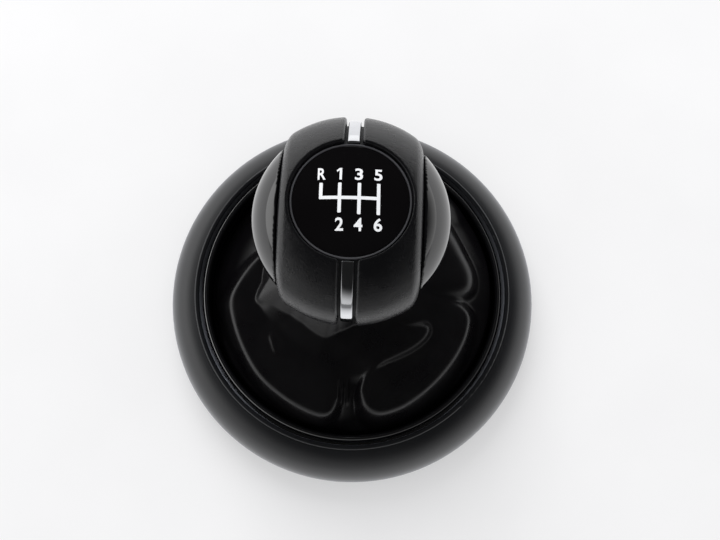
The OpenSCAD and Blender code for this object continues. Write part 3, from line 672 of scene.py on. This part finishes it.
def lineDistance(x, y, line):
    # distance in mm to a line through the points
    p, line = np.column_stack([x, y]), np.asarray(line, float)
    nearest = np.full(len(p), 1e9)
    for a, b in zip(line, line[1:]):
        share = np.clip(((p - a) @ (b - a)) / ((b - a) @ (b - a)), 0, 1)
        nearest = np.minimum(nearest, np.hypot(*(p - a - share[:, None] * (b - a)).T))
    return nearest


def loopDistance(x, y, loop):
    # the same for a closed outline, negative inside it
    inside = np.zeros(len(x), bool)
    for a, b in zip(loop, np.roll(loop, -1, 0)):
        if a[1] != b[1]:
            level = (y >= min(a[1], b[1])) & (y < max(a[1], b[1]))
            inside ^= level & (x < a[0] + (y - a[1]) / (b[1] - a[1]) * (b[0] - a[0]))
    return np.where(inside, -1, 1) * lineDistance(x, y, np.vstack([loop, loop[:1]]))


def edgeDrop(out, radius, steep):
    # how far the cloth falls outside a fold's outline: round first, then a straight slope
    turn = radius * steep / math.hypot(1, steep)
    x = np.maximum(out, 0)
    near = radius - np.sqrt(np.maximum(radius ** 2 - np.minimum(x, turn) ** 2, 0))
    return near + np.maximum(x - turn, 0) * steep


def softMax(a, b, blend):
    return (a + b + np.sqrt((a - b) ** 2 + blend ** 2)) / 2


def eased(share):
    share = np.clip(share, 0, 1)
    return share * share * (3 - 2 * share)


def gaiterHeight(x, y, share):
    g = gaiter
    keys = np.array(g["floor"])
    z = np.interp(share, keys[:, 0], keys[:, 1])
    for name, (top, radius, steep, sag, outline) in folds.items():
        out = loopDistance(x, y, smoothLoop(outline, 2)) + radius * 0.55
        if name == "collar":
            top = top - sum(slope * np.maximum(line - y, 0) for line, slope in collarFalls)
            top = top + sum(more * eased((x - fromX) / wide) * eased((y - fromY) / deep)
                            for fromX, wide, more, fromY, deep in collarTurns)
        z = softMax(z, top - sag * eased(-out / 6) - edgeDrop(out, radius, steep), 1.0)
    cornerX, cornerY, cornerZ, skirt = np.array(shoulder).T
    turn, around = np.arctan2(cornerY - g["neckY"], cornerX), np.arctan2(y - g["neckY"], x)
    edge, edgeZ, skirt = (
        np.interp(around, turn, values, period=2 * math.pi)
        for values in (np.hypot(cornerX, cornerY - g["neckY"]), cornerZ, skirt))
    past = np.hypot(x, y - g["neckY"]) - edge
    steep = (g["neckZ"] - edgeZ) / (edge - g["neckR"])
    z = softMax(z, edgeZ - np.where(past > 0, skirt, steep) * past, 0.4)
    for high, wide, line in creases:
        z = z + high * np.exp(-(lineDistance(x, y, line) / wide) ** 2)
    high, turnX, startX, turnY, startY = g["uneven"]
    return z + high * np.sin(x * turnX + startX) * np.sin(y * turnY + startY)


def blurred(z, turns):
    for turn in range(turns):
        z = 0.5 * z + 0.25 * (np.roll(z, 1, 1) + np.roll(z, -1, 1))
        z[1:-1] = 0.5 * z[1:-1] + 0.25 * (z[:-2] + z[2:])
    return z


def ringRow(radius, angle, middleY, height):
    return np.stack([radius * np.cos(angle), radius * np.sin(angle) + middleY, np.full_like(angle, height)], 1)


def gaiterRows():
    g = gaiter
    even = np.linspace(-180, 180, 3601)
    density = 1 + gathered["dense"] * np.exp(-((even - gathered["angle"]) / gathered["reach"]) ** 2)
    total = np.concatenate([[0], np.cumsum((density[1:] + density[:-1]) / 2)])
    angle = np.radians(np.interp(np.arange(g["around"]) / g["around"] * total[-1], total, even))
    share = np.linspace(0, 1, g["rows"])[:, None]
    radius = g["hemR"] + (g["neckR"] - g["hemR"]) * share
    x = radius * np.cos(angle)
    y = radius * np.sin(angle) + g["neckY"] * share
    z = gaiterHeight(x.ravel(), y.ravel(), np.repeat(share.ravel(), g["around"])).reshape(x.shape)
    edge = np.clip(share / g["hemEase"], 0, 1)
    z = blurred(z * edge + g["hemTop"] * (1 - edge), 2)
    near = eased((share - g["neckFrom"]) / g["neckEase"])
    z = z * (1 - near) + g["neckZ"] * near
    # upright at the hem, and round the leaning neck above the folds
    lean = math.tan(math.radians(lever["lean"]))
    hem = [ringRow(g["hemR"], angle, 0, h) for h in np.linspace(g["hemLow"], g["hemTop"] - 0.4, 6)]
    sleeve = [ringRow(g["neckR"], angle, (h + lever["pivotDepth"]) * lean, h)
              for h in np.linspace(g["neckZ"] + 0.7, g["sleeveTop"], 7)]
    return np.array(hem + list(np.stack([x, y, z], 2)) + sleeve) * mm


def makeGaiter():
    rows = gaiterRows()
    count, around = rows.shape[:2]
    faces = [(k * around + i, k * around + (i + 1) % around, (k + 1) * around + (i + 1) % around, (k + 1) * around + i)
             for k in range(count - 1) for i in range(around)]
    # flat sizes are estimates: the skin itself measures at most 301 x 54 and 141 x 26, and the areas are set to it
    for name, below, bodies, start, end, flat, area, held in (
            ("gaiter_lower", True, ("trim", "boot"), 24.0, gaiter["cutZ"], (302, 58), 10200, "gaiter_frame"),
            ("gaiter_upper", False, ("boot", "knob"), gaiter["cutZ"], 43.0, (150, 24), 2300, "gaiter_tie")):
        piece = makePiece(name, rows.reshape(-1, 3), faces, "leatherette", None, ["gaiter"])
        work = bmesh.new()
        work.from_mesh(piece.data)
        bmesh.ops.bisect_plane(
            work, geom=work.verts[:] + work.edges[:] + work.faces[:], dist=1e-7,
            plane_co=(0, 0, gaiter["cutZ"] * mm), plane_no=(0, 0, 1), clear_outer=below, clear_inner=not below)
        work.to_mesh(piece.data)
        work.free()
        skin = piece.modifiers.new("skin", "SOLIDIFY")
        # without a rim the skin is shaded as one across the cut
        skin.thickness, skin.offset, skin.use_rim = gaiter["thick"] * mm, -1, False
        piece.data.shade_smooth()
        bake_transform(piece)
        measured = sum(face.area for face in piece.data.polygons) / mm ** 2
        print(name, len(piece.data.polygons), "faces,", round(measured), "mm2 a side")


makeGaiter()


# studio
studio = {
    # plain is the level that lights matt colours; what a surface mirrors is bright at the horizon and dark overhead
    "wall": "#ffffff", "plain": 0.72, "overhead": 0.02, "around": 1.3, "fade": (0.02, 0.44), "higherSide": (0.12, 0.02),
    "sides": 0.7, "beside": (0.5, 0.95), "lowSide": (0.0, 0.16), "front": 0.5,
    # strength of the floor's glow in mirrors, dimmer far in front as a painted shade: far in front, and elsewhere, and
    # where the one turns into the other
    "floorMirrored": (0.25, 1.15, -0.4, -0.12),
    "floorShown": 0.42, "floorR": 2, "floorSides": 64, "lampSize": 1.0, "lamps": [((-0.3, 0.9, 0.95), 11.0)],
}


def makeWorld():
    s = studio
    world = bpy.data.worlds.new("studio")
    bpy.context.scene.world = world
    world.use_nodes = True
    tree = world.node_tree
    tree.nodes.clear()
    place = addNode(tree, "TexCoord").outputs["Generated"]
    parts = addNode(tree, "SeparateXYZ", {0: place}).outputs
    side = addNode(tree, "VectorMath", {0: place, 1: s["higherSide"] + (0,)}, operation="DOT_PRODUCT").outputs[1]
    height = addNode(tree, "Math", {0: parts[2], 1: side}, operation="ADD").outputs[0]
    share = addNode(tree, "MapRange", {0: height, 1: s["fade"][0], 2: s["fade"][1], 3: s["around"], 4: s["overhead"]},
                    interpolation_type="SMOOTHSTEP").outputs[0]
    # low at the left and right it is brighter still
    away = addNode(tree, "Math", {0: parts[0]}, operation="ABSOLUTE").outputs[0]
    beside = addNode(tree, "MapRange", {0: away, 1: s["beside"][0], 2: s["beside"][1], 3: 0.0, 4: s["sides"]},
                     interpolation_type="SMOOTHSTEP").outputs[0]
    low = addNode(tree, "MapRange", {0: height, 1: s["lowSide"][0], 2: s["lowSide"][1], 3: 1.0, 4: 0.0},
                  interpolation_type="SMOOTHSTEP").outputs[0]
    share = addNode(tree, "Math", {0: beside, 1: low, 2: share}, operation="MULTIPLY_ADD").outputs[0]
    dim = addNode(tree, "MapRange", {0: parts[1], 1: -0.9, 2: 0.0, 3: s["front"], 4: 1.0}).outputs[0]
    share = addNode(tree, "Math", {0: share, 1: dim}, operation="MULTIPLY").outputs[0]
    seen = addNode(tree, "LightPath").outputs
    plain = addNode(tree, "Background", {"Color": srgb(s["wall"]), "Strength": s["plain"]}).outputs[0]
    mirrored = addNode(tree, "Background", {"Color": srgb(s["wall"]), "Strength": share}).outputs[0]
    wall = addNode(tree, "Background", {"Color": srgb(s["wall"]), "Strength": 1.0}).outputs[0]
    both = addNode(tree, "MixShader", {0: seen["Is Glossy Ray"], 1: plain, 2: mirrored}).outputs[0]
    both = addNode(tree, "MixShader", {0: seen["Is Camera Ray"], 1: both, 2: wall}).outputs[0]
    addNode(tree, "OutputWorld", {"Surface": both})


def makeFloor():
    s = studio
    made, floorTree, shader, coords = startMaterial("paper_white_matt", Roughness=0.9)
    fibre = addNode(floorTree, "TexNoise", {"Vector": coords, "Scale": perMetre(60), "Detail": 3.0}).outputs[0]
    tintAndRoughness(floorTree, shader, fibre, ("#efeff0", "#f3f3f4"), (0.85, 0.95))
    # what the camera and mirrors see of the paper is partly a plain white, and the rest keeps the shadow
    rays = addNode(floorTree, "LightPath").outputs
    part = addNode(floorTree, "Math", {0: rays["Is Camera Ray"], 1: s["floorShown"], 2: rays["Is Glossy Ray"]},
                   operation="MULTIPLY_ADD").outputs[0]
    # in mirrors the floor glows less toward the front: a painted shade in what the object reflects
    along = addNode(floorTree, "SeparateXYZ", {0: coords}).outputs[1]
    far, close, farY, closeY = s["floorMirrored"]
    level = addNode(floorTree, "MapRange", {0: along, 1: farY, 2: closeY, 3: far, 4: close}).outputs[0]
    level = addNode(floorTree, "Mix", {0: rays["Is Glossy Ray"], 2: 1.0, 3: level}, data_type="FLOAT").outputs[0]
    glow = addNode(floorTree, "Emission", {"Color": srgb("#f6f6f7"), "Strength": level}).outputs[0]
    mixed = addNode(floorTree, "MixShader", {0: part, 1: shader.outputs[0], 2: glow}).outputs[0]
    floorTree.links.new(mixed, [n for n in floorTree.nodes if n.type == "OUTPUT_MATERIAL"][0].inputs[0])
    finishes["floor"] = made
    count, radius = s["floorSides"], s["floorR"]
    turn = np.arange(count) * 2 * math.pi / count
    points = [(0, 0, 0)] + [(radius * math.cos(a), radius * math.sin(a), 0) for a in turn]
    floor = makePiece("floor", points, [(0, i + 1, (i + 1) % count + 1) for i in range(count)], "floor")


def makeLamps():
    s = studio
    for index, (spot, power) in enumerate(s["lamps"]):
        data = bpy.data.lights.new("lamp%d" % index, "AREA")
        data.shape, data.size, data.energy = "DISK", s["lampSize"], power
        lamp = bpy.data.objects.new("lamp%d" % index, data)
        bpy.context.scene.collection.objects.link(lamp)
        lamp.location = spot
        lamp.visible_glossy = False
        lamp.rotation_euler = Vector(spot).to_track_quat("Z", "Y").to_euler()


makeWorld()
makeFloor()
makeLamps()
print("studio set")
